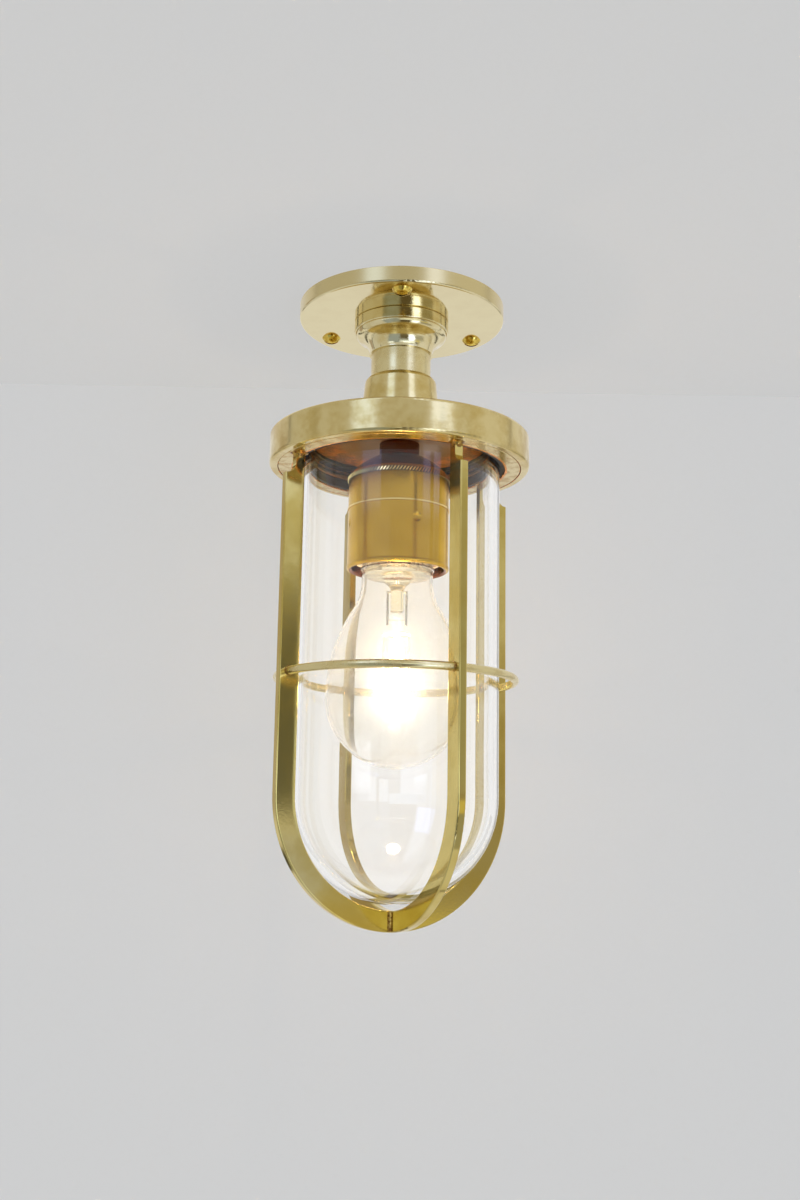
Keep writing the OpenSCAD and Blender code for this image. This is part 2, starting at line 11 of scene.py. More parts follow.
import bmesh
import bpy
from bpy.props import FloatProperty, FloatVectorProperty, IntProperty, PointerProperty
from bpy.types import Operator, Panel, PropertyGroup
from mathutils import Matrix, Vector


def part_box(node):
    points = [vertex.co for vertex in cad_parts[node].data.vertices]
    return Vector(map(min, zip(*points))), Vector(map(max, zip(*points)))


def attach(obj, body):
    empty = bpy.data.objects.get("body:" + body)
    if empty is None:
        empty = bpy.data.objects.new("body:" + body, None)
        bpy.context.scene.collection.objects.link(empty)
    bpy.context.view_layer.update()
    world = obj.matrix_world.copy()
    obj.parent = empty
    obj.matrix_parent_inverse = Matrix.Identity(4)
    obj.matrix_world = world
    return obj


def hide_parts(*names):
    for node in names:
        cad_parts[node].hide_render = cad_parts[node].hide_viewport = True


bl_info = {
    "name": "Well glass ceiling light",
    "version": (1, 0, 0),
    "blender": (4, 5, 0),
    "location": "View3D > Sidebar > Well glass light",
    "description": "Dresses a brass well glass ceiling light and lights it on a pale ceiling",
    "category": "Object",
}

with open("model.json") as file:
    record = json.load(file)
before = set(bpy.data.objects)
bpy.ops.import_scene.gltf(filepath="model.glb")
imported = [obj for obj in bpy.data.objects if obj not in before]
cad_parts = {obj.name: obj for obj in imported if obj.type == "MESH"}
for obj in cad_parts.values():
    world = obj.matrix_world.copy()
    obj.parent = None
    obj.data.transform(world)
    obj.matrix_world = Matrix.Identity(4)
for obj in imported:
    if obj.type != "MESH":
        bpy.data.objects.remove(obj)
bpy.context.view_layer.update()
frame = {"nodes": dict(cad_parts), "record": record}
MM = 0.001


def linear(hex_colour):
    """An sRGB hex colour as linear red, green, blue and alpha."""
    channels = [int(hex_colour[i : i + 2], 16) / 255 for i in (1, 3, 5)]
    curve = [c / 12.92 if c <= 0.04045 else ((c + 0.055) / 1.055) ** 2.4 for c in channels]
    return (*curve, 1.0)


def radius_of(node):
    """The outside radius of a turned node that stands on the light's axis."""
    low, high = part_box(node)
    return (high[0] - low[0]) / 2


def foot_of(node):
    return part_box(node)[0][2]


def head_of(node):
    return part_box(node)[1][2]


# Values shared by several pieces

KNURL_HEIGHT = 1.9 * MM
PALE = linear("#CFCFCE")


# Sizes and colours for the panel


class BrassSettings(PropertyGroup):
    polished: FloatVectorProperty(
        name="Polished brass",
        description="Colour that bright brass turns white light to",
        subtype="COLOR",
        size=4,
        default=linear("#E6D9AC"),
    )
    satin: FloatVectorProperty(
        name="Satin brass",
        description="Colour of turned brass that has lost its first shine",
        subtype="COLOR",
        size=4,
        default=linear("#D6C288"),
    )
    worn: FloatVectorProperty(
        name="Worn brass",
        description="Colour of brass where hands and heat have dulled it",
        subtype="COLOR",
        size=4,
        default=linear("#B79449"),
    )
    tarnish: FloatVectorProperty(
        name="Tarnish",
        description="Brown oxide inside the gallery, over the lamp's heat",
        subtype="COLOR",
        size=4,
        default=linear("#8C5D27"),
    )


class DetailSettings(PropertyGroup):
    capsule_glow: FloatProperty(
        name="Capsule glow",
        description="Strength of the light that the lit capsule's quartz gives off",
        default=32.0,
    )
    knurl_teeth: IntProperty(
        name="Knurl teeth",
        description="Number of slanting teeth round the lampholder's edge",
        default=100,
        min=40,
        max=220,
    )
    knurl_depth: FloatProperty(
        name="Knurl depth",
        description="Depth of the knurl's grooves",
        subtype="DISTANCE",
        default=0.45 * MM,
    )
    cap_pitch: FloatProperty(
        name="Cap thread pitch",
        description="Rise of the lamp cap's rolled thread in one turn",
        subtype="DISTANCE",
        default=3.629 * MM,
    )
    ring_pitch: FloatProperty(
        name="Guard thread pitch",
        description="Rise of the guard ring's thread in one turn",
        subtype="DISTANCE",
        default=2 * MM,
    )
    screw_pitch: FloatProperty(
        name="Wood screw pitch",
        description="Rise of a fixing screw's thread in one turn",
        subtype="DISTANCE",
        default=1.8 * MM,
    )
    coil_turns: IntProperty(
        name="Filament turns",
        description="Turns of the lamp's coiled filament",
        default=16,
        min=4,
        max=40,
    )


class StageSettings(PropertyGroup):
    camera_place: FloatVectorProperty(
        name="Camera place",
        description="Where the camera stands, in the light's own frame",
        subtype="TRANSLATION",
        size=3,
        default=(0.0, -0.5207, -0.2206),
    )
    camera_pitch: FloatProperty(
        name="Camera pitch",
        description="How far the camera looks up",
        subtype="ANGLE",
        default=0.1885,
    )
    camera_yaw: FloatProperty(
        name="Camera yaw",
        description="How far the camera turns to the left",
        subtype="ANGLE",
        default=-0.0022,
    )
    camera_roll: FloatProperty(
        name="Camera roll",
        description="How far the camera leans",
        subtype="ANGLE",
        default=-0.016,
    )
    focal_share: FloatProperty(
        name="Focal length share",
        description="Focal length as a share of the picture's height",
        default=1.125,
    )
    wall_gap: FloatProperty(
        name="Wall gap",
        description="Distance from the light's axis to the wall behind it",
        subtype="DISTANCE",
        default=98 * MM,
    )
    lamp_power: FloatProperty(
        name="Lamp power",
        description="Light that the capsule gives off",
        subtype="POWER",
        default=0.15,
    )


# Nodes for materials


def feed(tree, node, inputs):
    """Gives a node's inputs values, other nodes' outputs, or nodes, for their first output."""
    for socket, value in dict(inputs).items():
        if isinstance(value, bpy.types.Node):
            value = value.outputs[0]
        if isinstance(value, bpy.types.NodeSocket):
            tree.links.new(value, node.inputs[socket])
        else:
            node.inputs[socket].default_value = value


def add(tree, kind, inputs=(), **settings):
    """Adds a node, sets its properties and feeds its inputs.

    A Mix node's inputs 2 and 3 are its numbers, and 6 and 7 its colours.
    """
    made = tree.nodes.new(kind)
    for name, value in settings.items():
        setattr(made, name, value)
    feed(tree, made, inputs)
    return made


def empty_material(name):
    """A new material and its node tree, cleared."""
    material = bpy.data.materials.new(name)
    material.use_nodes = True
    material.node_tree.nodes.clear()
    return material, material.node_tree


def surface(tree, looks):
    """Ends a material with its shader, which has these looks."""
    shader = add(tree, "ShaderNodeBsdfPrincipled", looks)
    add(tree, "ShaderNodeOutputMaterial", {"Surface": shader})


def layered(tree, colour, *layers):
    """A colour with others laid over it in turn, each with a mask of where it shows."""
    for mask, other in layers:
        mixed = add(
            tree, "ShaderNodeMix", {"Factor": mask, 6: colour, 7: other}, data_type="RGBA"
        )
        colour = mixed.outputs[2]
    return colour


def patchy(tree, patch, clean, dull, shine, rub):
    """A colour and a roughness that go from clean and shine to dull and rub in patches."""
    polish = add(tree, "ShaderNodeMapRange", {"Value": patch, "To Min": shine, "To Max": rub})
    return layered(tree, clean, (patch, dull)), polish


def cylinder_coordinates(tree):
    """Radius and height of a point about the light's axis, in metres."""
    place = add(tree, "ShaderNodeTexCoord").outputs["Object"]
    parts = add(tree, "ShaderNodeSeparateXYZ", {0: place})
    flat = add(tree, "ShaderNodeCombineXYZ", {0: parts.outputs[0], 1: parts.outputs[1]})
    radius = add(tree, "ShaderNodeVectorMath", {0: flat}, operation="LENGTH")
    return radius.outputs["Value"], parts.outputs[2]


def lathe_marks(tree, pitch):
    """Rings that a turning tool leaves, as uneven bands of radius and height.

    Real ones are about 0.1 mm apart, too fine for the render, so they are drawn coarser.
    """
    radius, height = cylinder_coordinates(tree)
    rings = add(tree, "ShaderNodeCombineXYZ", {0: radius, 1: 0.0, 2: height})
    marks = add(
        tree,
        "ShaderNodeTexNoise",
        {"Vector": rings, "Scale": 1 / pitch, "Detail": 3.0, "Roughness": 0.6},
    )
    return marks.outputs["Fac"]


def blotches(tree, size, low=0.38, high=0.68):
    """Soft patches about the given size, from 0 to 1."""
    place = add(tree, "ShaderNodeTexCoord").outputs["Object"]
    noise = add(
        tree,
        "ShaderNodeTexNoise",
        {"Vector": place, "Scale": 1 / size, "Detail": 4.0, "Roughness": 0.6},
    )
    spread = add(
        tree,
        "ShaderNodeMapRange",
        {"Value": noise.outputs["Fac"], "From Min": low, "From Max": high},
        interpolation_type="SMOOTHSTEP",
    )
    return spread.outputs[0]


def swell(tree, size):
    """Slow, rounded waves about the given size, with no small detail."""
    place = add(tree, "ShaderNodeTexCoord").outputs["Object"]
    noise = add(tree, "ShaderNodeTexNoise", {"Vector": place, "Scale": 1 / size, "Detail": 0.0})
    return noise.outputs["Fac"]


def pits(tree, gap, width):
    """Small casting pits and specks, one in each cell of the given gap at most."""
    place = add(tree, "ShaderNodeTexCoord").outputs["Object"]
    cells = add(tree, "ShaderNodeTexVoronoi", {"Vector": place, "Scale": 1 / gap})
    far, near = width / gap, 0.4 * width / gap
    spots = add(
        tree,
        "ShaderNodeMapRange",
        {"Value": cells.outputs["Distance"], "From Min": far, "From Max": near},
        interpolation_type="SMOOTHSTEP",
    )
    some = blotches(tree, 3 * gap, 0.5, 0.6)
    return add(tree, "ShaderNodeMath", {0: some, 1: spots}, operation="MULTIPLY").outputs[0]


def within(tree, value, low, high, soft):
    """1 where a value lies between two limits, with soft ends."""
    rise, fall = (
        add(
            tree,
            "ShaderNodeMapRange",
            {"Value": value, "From Min": outer, "From Max": inner},
            interpolation_type="SMOOTHSTEP",
        )
        for outer, inner in ((low - soft, low + soft), (high + soft, high - soft))
    )
    return add(tree, "ShaderNodeMath", {0: rise, 1: fall}, operation="MULTIPLY").outputs[0]


def thread_waves(tree, pitch):
    """A screw thread's crests and roots about the light's axis, from -1 to 1."""
    place = add(tree, "ShaderNodeTexCoord").outputs["Object"]
    x, y, z = add(tree, "ShaderNodeSeparateXYZ", {0: place}).outputs
    angle = add(tree, "ShaderNodeMath", {0: y, 1: x}, operation="ARCTAN2")
    rise = add(tree, "ShaderNodeMath", {0: z, 1: math.tau / pitch}, operation="MULTIPLY")
    phase = add(tree, "ShaderNodeMath", {0: rise, 1: angle}, operation="ADD")
    return add(tree, "ShaderNodeMath", {0: phase}, operation="SINE").outputs[0]


# Metals


def brass(name, clean, dull, shine, rub, blotch, marks, relief, spots=None, rim=None):
    """Brass between a clean and a dull colour, with a roughness for each, and lathe marks.

    Brass is a warm metal whose own colour tints what it mirrors. Turning leaves rings in
    it, and handling leaves soft patches that scatter a little more: marks is the gap between
    the rings, and blotch the size of the patches. spots is the gap between casting pits, if
    it has any, and rim is the radius of an edge made rougher and darker, its darker colour a
    painted shade that dims what the edge mirrors.
    """
    material, tree = empty_material(name)
    colour, polish = patchy(tree, blotches(tree, blotch), clean, dull, shine, rub)
    height = lathe_marks(tree, marks)
    if rim:
        radius = cylinder_coordinates(tree)[0]
        edge = within(tree, radius, rim - 0.1 * MM, rim + 1 * MM, 0.05 * MM)
        # The rim's darker colour is painted shade that dims what it mirrors; its rougher finish is
        # real.
        colour = layered(tree, colour, (edge, linear("#D2C08A")))
        edge_rub = 0.26
        polish = add(
            tree, "ShaderNodeMix", {"Factor": edge, 2: polish, 3: edge_rub}, data_type="FLOAT"
        )
    if spots:
        dents = pits(tree, spots, 0.35 * MM)
        dark = add(tree, "ShaderNodeMath", {0: dents, 1: 0.6}, operation="MULTIPLY")
        colour = layered(tree, colour, (dark, linear("#4B3A1C")))
        deep = add(tree, "ShaderNodeMath", {0: dents, 1: 3.0}, operation="MULTIPLY")
        height = add(tree, "ShaderNodeMath", {0: height, 1: deep}, operation="SUBTRACT")
    bump = add(
        tree, "ShaderNodeBump", {"Height": height, "Strength": relief, "Distance": 0.1 * MM}
    )
    surface(tree, {"Base Color": colour, "Metallic": 1.0, "Roughness": polish, "Normal": bump})
    return material


def mirror_plate_brass():
    """Turned and buffed to a mirror: it shows the hub and the screws, a little softened."""
    return brass(
        "buffed_plate_brass",
        bpy.context.scene.brass_settings.polished,
        linear("#E3D5A8"),
        shine=0.05,
        rub=0.11,
        blotch=14 * MM,
        marks=0.7 * MM,
        relief=0.05,
        rim=radius_of("ceiling_plate"),
    )


def turned_hub_brass():
    """Turned on a lathe and lightly buffed, so that fine rings still break up its highlights."""
    tones = bpy.context.scene.brass_settings
    return brass(
        "turned_hub_brass",
        tones.polished,
        tones.satin,
        shine=0.06,
        rub=0.13,
        blotch=8 * MM,
        marks=0.5 * MM,
        relief=0.6,
    )


def drawn_brass():
    """Drawn tube and wire with a fine satin, whose highlights run along it as soft pale bars."""
    return brass(
        "drawn_brass",
        linear("#DDCD98"),
        bpy.context.scene.brass_settings.satin,
        shine=0.22,
        rub=0.32,
        blotch=7 * MM,
        marks=0.4 * MM,
        relief=0.12,
    )


def guard_brass():
    """Drawn bar, bent and brazed, then buffed by hand: bright faces, a little darker in places."""
    return brass(
        "buffed_bar_brass",
        linear("#D3C079"),
        linear("#C3AA57"),
        shine=0.07,
        rub=0.15,
        blotch=30 * MM,
        marks=1.2 * MM,
        relief=0.05,
        spots=16 * MM,
    )


def screw_brass():
    """Small headed screws in a yellower alloy, bright from the tumbling barrel."""
    return brass(
        "screw_brass",
        linear("#EACF68"),
        linear("#D3B04C"),
        shine=0.1,
        rub=0.2,
        blotch=2 * MM,
        marks=0.3 * MM,
        relief=0.1,
    )


def inner_brass():
    """Plain machined brass for pieces inside the light."""
    tones = bpy.context.scene.brass_settings
    return brass(
        "machined_brass",
        tones.satin,
        tones.worn,
        shine=0.22,
        rub=0.34,
        blotch=3 * MM,
        marks=0.3 * MM,
        relief=0.2,
    )


def gallery_brass():
    """Cast, turned and buffed outside. Inside, over the lamp, it has gone brown and patchy.

    Tarnish is a skin of oxide: it mirrors dimly, scatters the lamp's light in copper
    tones, and breaks up into specks. The skirt's thread shows as close ridges in the bore.
    """
    tones = bpy.context.scene.brass_settings
    pitch = bpy.context.scene.detail_settings.ring_pitch
    material, tree = empty_material("cast_gallery_brass")
    radius, height = cylinder_coordinates(tree)
    bore = radius_of("guard_ring") + 0.15 * MM
    crown = head_of("crown_gasket") + 0.2 * MM
    inward = add(tree, "ShaderNodeMath", {0: radius, 1: bore}, operation="LESS_THAN")
    under = add(tree, "ShaderNodeMath", {0: height, 1: crown}, operation="LESS_THAN")
    inside = add(tree, "ShaderNodeMath", {0: inward, 1: under}, operation="MULTIPLY")

    outer, shine = patchy(
        tree, blotches(tree, 12 * MM), linear("#D9C68C"), linear("#C8AF69"), 0.15, 0.25
    )
    outer = layered(tree, outer, (pits(tree, 11 * MM, 0.4 * MM), linear("#5A4520")))
    stain = blotches(tree, 5 * MM, 0.42, 0.6)
    speck = blotches(tree, 0.8 * MM, 0.5, 0.62)
    fleck = add(tree, "ShaderNodeMath", {0: speck, 1: 0.45}, operation="MULTIPLY")
    near = within(tree, radius, 0, 25 * MM, 3 * MM)
    brown = layered(
        tree,
        tones.tarnish,
        (stain, linear("#C87A30")),
        (fleck, linear("#DDA968")),
        (near, linear("#8E6A38")),
    )
    oxide_rub = 0.32
    polish = add(
        tree, "ShaderNodeMix", {"Factor": inside, 2: shine, 3: oxide_rub}, data_type="FLOAT"
    )
    bare = add(tree, "ShaderNodeMapRange", {"Value": inside, "To Min": 1.0, "To Max": 0.45})

    wall = within(tree, radius, bore - 0.5 * MM, bore, 0.02 * MM)
    waves = thread_waves(tree, pitch)
    crest = add(tree, "ShaderNodeMath", {0: waves, 1: wall}, operation="MULTIPLY")
    ridge = add(tree, "ShaderNodeMath", {0: crest, 1: inside}, operation="MULTIPLY")
    relief = add(
        tree,
        "ShaderNodeMath",
        {0: ridge, 1: 3.0, 2: lathe_marks(tree, 0.6 * MM)},
        operation="MULTIPLY_ADD",
    )
    bump = add(
        tree, "ShaderNodeBump", {"Height": relief, "Strength": 0.12, "Distance": 0.1 * MM}
    )
    looks = {
        "Base Color": layered(tree, outer, (inside, brown)),
        "Metallic": bare,
        "Roughness": polish,
        "Specular IOR Level": 0.1,
        "Normal": bump,
    }
    surface(tree, looks)
    return material


def holder_brass():
    """Spun sheet with a fine grain, deeper gold than the castings, and heat-browned inside.

    The knurl's crests carry a painted highlight and its grooves a painted shade, and the bead
    that joins the two spun halves is drawn as a pale painted highlight line. Real grain is too
    fine for the render, so it is drawn half a millimetre wide.
    """
    depth = bpy.context.scene.detail_settings.knurl_depth
    material, tree = empty_material("spun_holder_brass")
    radius, height = cylinder_coordinates(tree)
    bore = radius_of("holder_shell") - 1.1 * MM
    rim = radius_of("holder_cap")
    low = foot_of("holder_cap")
    bead = foot_of("holder_shell") + 24.4 * MM
    # The knurl's pale crests are a painted highlight and its dark grooves a painted shade.
    tooth = add(
        tree,
        "ShaderNodeMapRange",
        {"Value": radius, "From Min": rim - 0.7 * depth, "From Max": rim - 0.3 * depth},
    )
    knurl = layered(tree, linear("#4A3210"), (tooth, linear("#FFEFB0")))
    colour, polish = patchy(
        tree, swell(tree, 9 * MM), linear("#E2BA48"), linear("#CCA133"), 0.18, 0.27
    )
    # Over the patches: a painted highlight along the bead, the knurl's painted highlight and
    # shade, and the brown oxide of the bore.
    colour = layered(
        tree,
        colour,
        (within(tree, height, bead - 0.3 * MM, bead + 0.3 * MM, 0.1 * MM), linear("#F3DC9C")),
        (within(tree, height, low, low + KNURL_HEIGHT, 0.05 * MM), knurl),
        (within(tree, radius, 0, bore, 0.01 * MM), linear("#8A4A28")),
    )
    grain = add(
        tree,
        "ShaderNodeMath",
        {0: swell(tree, 0.5 * MM), 1: lathe_marks(tree, 0.8 * MM)},
        operation="ADD",
    )
    bump = add(
        tree, "ShaderNodeBump", {"Height": grain, "Strength": 0.3, "Distance": 0.05 * MM}
    )
    surface(tree, {"Base Color": colour, "Metallic": 1.0, "Roughness": polish, "Normal": bump})
    return material


def threaded_ring_brass():
    """Turned brass whose thread shows as even ridges, each catching a line of light.

    The bore, round the glass over the lamp, is orange: partly oxide from the heat, and partly a
    painted glow of the lamp that it mirrors. It scatters the lamp's light.
    """
    tones = bpy.context.scene.brass_settings
    pitch = bpy.context.scene.detail_settings.ring_pitch
    material, tree = empty_material("threaded_ring_brass")
    outer, polish = patchy(tree, blotches(tree, 5 * MM), tones.satin, tones.worn, 0.16, 0.28)
    radius = cylinder_coordinates(tree)[0]
    bore = radius_of("seat_gasket") - 3 * MM
    # Orange in the bore: heat oxide, made paler as a painted glow of the lamp.
    oxide_and_glow = within(tree, radius, 0, bore, 0.05 * MM)
    bare = add(tree, "ShaderNodeMapRange", {"Value": oxide_and_glow, "To Min": 1.0, "To Max": 0.5})
    outside = radius_of("guard_ring") - 0.2 * MM
    wall = within(tree, radius, outside, outside + 1 * MM, 0.05 * MM)
    waves = thread_waves(tree, pitch)
    crest = add(tree, "ShaderNodeMath", {0: waves, 1: wall}, operation="MULTIPLY")
    bump = add(
        tree, "ShaderNodeBump", {"Height": crest, "Strength": 0.5, "Distance": 0.3 * MM}
    )
    looks = {
        "Base Color": layered(tree, outer, (oxide_and_glow, linear("#DC9444"))),
        "Metallic": bare,
        "Roughness": polish,
        "Specular IOR Level": 0.1,
        "Normal": bump,
    }
    surface(tree, looks)
    return material


# Other surfaces in two close colours


def mottled(name, clean, dull, shine, rub, size, grain=None, depth=0.0, metallic=0.0):
    """A surface in two close colours, in patches of one size, with a roughness for each.

    grain is the size of a fine relief, and depth is its strength.
    """
    material, tree = empty_material(name)
    colour, polish = patchy(tree, blotches(tree, size), clean, dull, shine, rub)
    looks = {"Base Color": colour, "Metallic": metallic, "Roughness": polish}
    if grain:
        ripple = blotches(tree, grain, 0.2, 0.8)
        looks["Normal"] = add(
            tree, "ShaderNodeBump", {"Height": ripple, "Strength": depth, "Distance": 0.1 * MM}
        )
    surface(tree, looks)
    return material


def heated_brass_painted_glow():
    """Brass over the lamp, under a dull orange skin of oxide, its colour made brighter and more
    orange as a painted glow of the lamp's light.
    """
    return mottled(
        "heated_brass_painted_glow",
        linear("#E28A38"),
        linear("#C4702A"),
        shine=0.3,
        rub=0.42,
        size=2 * MM,
        grain=0.25 * MM,
        depth=0.1,
    )


def braze_alloy():
    """Brazing alloy, run in and left with a rippled skin that the torch has browned."""
    return mottled(
        "braze_alloy",
        linear("#B9964C"),
        linear("#70431F"),
        shine=0.18,
        rub=0.4,
        size=1.5 * MM,
        grain=0.7 * MM,
        depth=0.35,
        metallic=1.0,
    )


def nickelled_steel():
    """Bright nickel on steel: neutral, and sharper than the brass, with faint smears."""
    return mottled(
        "nickelled_steel",
        linear("#C9C8C4"),
        linear("#A6A39C"),
        shine=0.18,
        rub=0.3,
        size=2 * MM,
        metallic=1.0,
    )


def rolled_aluminium():
    """Soft rolled sheet of a lamp cap, pale and slightly milky."""
    return mottled(
        "rolled_aluminium",
        linear("#D2D0CA"),
        linear("#B4B0A8"),
        shine=0.24,
        rub=0.36,
        size=2 * MM,
        metallic=1.0,
    )


def nitrile_rubber():
    """Black moulded rubber, matt, with a bloom of dust."""
    return mottled(
        "nitrile_rubber",
        linear("#141414"),
        linear("#26241F"),
        shine=0.55,
        rub=0.75,
        size=3 * MM,
        grain=0.375 * MM,
        depth=0.3,
    )


def glazed_porcelain():
    """Pressed porcelain under a thin glaze: white, with soft gloss."""
    return mottled(
        "glazed_porcelain",
        linear("#E9E5D9"),
        linear("#D9D3C2"),
        shine=0.15,
        rub=0.3,
        size=5 * MM,
        grain=0.625 * MM,
        depth=0.05,
    )


def vitrite():
    """Black glass that fills the end of a lamp cap, almost mirror smooth."""
    return mottled(
        "vitrite",
        linear("#0C0C0D"),
        linear("#1A1714"),
        shine=0.08,
        rub=0.2,
        size=3 * MM,
        grain=0.375 * MM,
        depth=0.05,
    )


# Glass and light


def glass(name, tint, index, ripple=None, clear=None):
    """Clear glass that lets the lights through to what it covers.

    Blown and pressed glass isn't flat: its walls swell by a hair, which bends what shows
    in them. ripple is the size of those waves, and clear is what the glass turns the
    lights' own colour to, where that isn't its tint.
    """
    material, tree = empty_material(name)
    shader = add(
        tree,
        "ShaderNodeBsdfPrincipled",
        {"Base Color": tint, "Roughness": 0.0, "IOR": index, "Transmission Weight": 1.0},
    )
    if ripple:
        waves = swell(tree, ripple)
        bump = add(
            tree, "ShaderNodeBump", {"Height": waves, "Strength": 0.3, "Distance": 0.3 * MM}
        )
        feed(tree, shader, {"Normal": bump})
    path = add(tree, "ShaderNodeLightPath")
    open_way = add(tree, "ShaderNodeBsdfTransparent", {"Color": clear or tint})
    either = add(
        tree, "ShaderNodeMixShader", {0: path.outputs["Is Shadow Ray"], 1: shader, 2: open_way}
    )
    add(tree, "ShaderNodeOutputMaterial", {"Surface": either})
    return material, tree, shader


def moulded_soda_glass():
    """Thick moulded soda-lime glass, clear and colourless, with a slow ripple."""
    return glass("moulded_soda_glass", linear("#FFFEFC"), 1.46, 26 * MM)[0]


def blown_lamp_glass():
    """Thin blown glass that shows by its rim, with a bloom that scatters the lit capsule.

    Some of the light goes through the bloom's specks and spreads, which puts a soft glow
    round the capsule from any side. Real specks are far finer than 0.12 mm, and are drawn
    at that size so that the render catches them.
    """
    material, tree, shader = glass("blown_lamp_glass", linear("#FDFEFD"), 1.3)
    speck = add(
        tree,
        "ShaderNodeMapRange",
        {"Value": swell(tree, 0.12 * MM), "From Min": 0.67, "From Max": 0.69, "To Max": 0.95},
    )
    feed(tree, shader, {"Roughness": speck})
    return material


def pressed_stem_glass():
    """Lead glass pressed round the wires, pale yellow where it is thick, with a faint painted glow
    for the lamp's light from below.
    """
    material, tree, shader = glass("pressed_stem_glass", linear("#F8F2D6"), 1.5, 5 * MM)
    # The faint emission is a painted glow of the lamp's light from below.
    feed(tree, shader, {"Emission Color": linear("#FFEAC8"), "Emission Strength": 0.07})
    return material


def lit_quartz():
    """Quartz capsule round the filament, too bright to look at while it burns.

    It glows over the coil, in its lower part, and is nearly clear above that.
    """
    material, tree, shader = glass(
        "lit_quartz", linear("#FFFDF6"), 1.45, clear=linear("#FFFFFF")
    )
    low, high = foot_of("halogen_capsule"), head_of("halogen_capsule")
    height = cylinder_coordinates(tree)[1]
    over_coil = within(tree, height, low - 5 * MM, low + 0.22 * (high - low), 2 * MM)
    power = bpy.context.scene.detail_settings.capsule_glow
    glow = add(tree, "ShaderNodeMapRange", {"Value": over_coil, "To Min": 0.05, "To Max": power})
    looks = {
        "Roughness": 0.05,
        "Emission Color": linear("#FFEFD8"),
        "Emission Strength": glow,
    }
    feed(tree, shader, looks)
    return material


def glowing_tungsten():
    """Tungsten coil at white heat."""
    material, tree = empty_material("glowing_tungsten")
    looks = {
        "Base Color": linear("#FFF3DC"),
        "Roughness": 0.5,
        "Emission Color": linear("#FFF1D2"),
        "Emission Strength": 6.0,
    }
    surface(tree, looks)
    return material


# Making and dressing pieces


def dress(nodes, material):
    """Gives a material to every slot of some of the model's own nodes."""
    for name in nodes:
        for slot in frame["nodes"][name].material_slots:
            slot.material = material


def finish_piece(name, shape, body, material, sharp=60):
    """Turns a bmesh into an object that rides on a body, smooth but for its sharp edges."""
    bmesh.ops.remove_doubles(shape, verts=shape.verts, dist=1e-6)
    bmesh.ops.recalc_face_normals(shape, faces=shape.faces)
    mesh = bpy.data.meshes.new(name)
    shape.to_mesh(mesh)
    shape.free()
    mesh.shade_smooth()
    mesh.set_sharp_from_angle(angle=math.radians(sharp))
    mesh.materials.append(material)
    made = bpy.data.objects.new(name, mesh)
    bpy.context.scene.collection.objects.link(made)
    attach(made, body)
    return made


def outline(shape, points):
    """A chain of edges through points, each given as (radius, height), in the XZ plane."""
    corners = [shape.verts.new((x, 0, z)) for x, z in points]
    edges = [shape.edges.new(pair) for pair in zip(corners, corners[1:])]
    return corners + edges


def section(shape, points):
    """A face with its corners at points, each given as (radius, height), in the XZ plane."""
    face = shape.faces.new([shape.verts.new((x, 0, z)) for x, z in points])
    return [face, *face.edges, *face.verts]


def turn(shape, points, steps=120):
    """Turns an outline all the way round the light's axis."""
    bmesh.ops.spin(
        shape,
        geom=outline(shape, points),
        axis=(0, 0, 1),
        cent=(0, 0, 0),
        angle=math.tau,
        steps=steps,
        use_merge=True,
    )


def wind(shape, drawn, turns, pitch, steps):
    """Winds an outline or a section about the light's axis into a screw thread or a coil."""
    bmesh.ops.spin(
        shape,
        geom=drawn,
        axis=(0, 0, 1),
        cent=(0, 0, 0),
        dvec=(0, 0, pitch / steps),
        angle=math.tau * turns,
        steps=int(steps * turns),
        use_merge=False,
    )


class LIGHT_OT_plate_and_neck(Operator):
    """Dresses the ceiling plate, the hub and the neck, and threads the fixing screws"""

    bl_idname = "light.plate_and_neck"
    bl_label = "Plate, hub and neck"

    def execute(self, context):
        dress(["ceiling_plate"], mirror_plate_brass())
        dress(["hub"], turned_hub_brass())
        dress(["neck_tube"], drawn_brass())
        metal = screw_brass()
        dress(["plate_screws"], metal)
        self.thread_screws(context.scene.detail_settings.screw_pitch, metal)
        return {"FINISHED"}

    def thread_screws(self, pitch, metal):
        """Wood-screw ridges round each shank, from the ceiling up to its point."""
        mount = next(m for m in frame["record"]["mounts"] if m["name"] == "fixing_screws")
        circle = mount["dims"]["pcd_mm"] / 2 * MM
        screws = 3
        root, crest, width = 1.35 * MM, 2 * MM, 0.5 * MM
        start, end = 1 * MM, head_of("plate_screws") - 5 * MM
        ridge = [(root, 0), (crest, width / 2), (root, width)]
        shape = bmesh.new()
        for i in range(screws):
            before = len(shape.verts)
            wind(shape, section(shape, ridge), (end - start) / pitch, pitch, steps=20)
            shape.verts.ensure_lookup_table()
            angle = math.tau * i / screws - math.pi / 2
            away = (circle * math.cos(angle), circle * math.sin(angle), start)
            bmesh.ops.translate(shape, verts=shape.verts[before:], vec=away)
        finish_piece("screw_threads", shape, "light", metal)


class LIGHT_OT_gallery(Operator):
    """Dresses the gallery, its nipple and locknut, and both gaskets"""

    bl_idname = "light.gallery"
    bl_label = "Gallery and gaskets"

    def execute(self, context):
        dress(["gallery"], gallery_brass())
        dress(["nipple", "nipple_locknut"], heated_brass_painted_glow())
        dress(["crown_gasket", "seat_gasket"], nitrile_rubber())
        return {"FINISHED"}


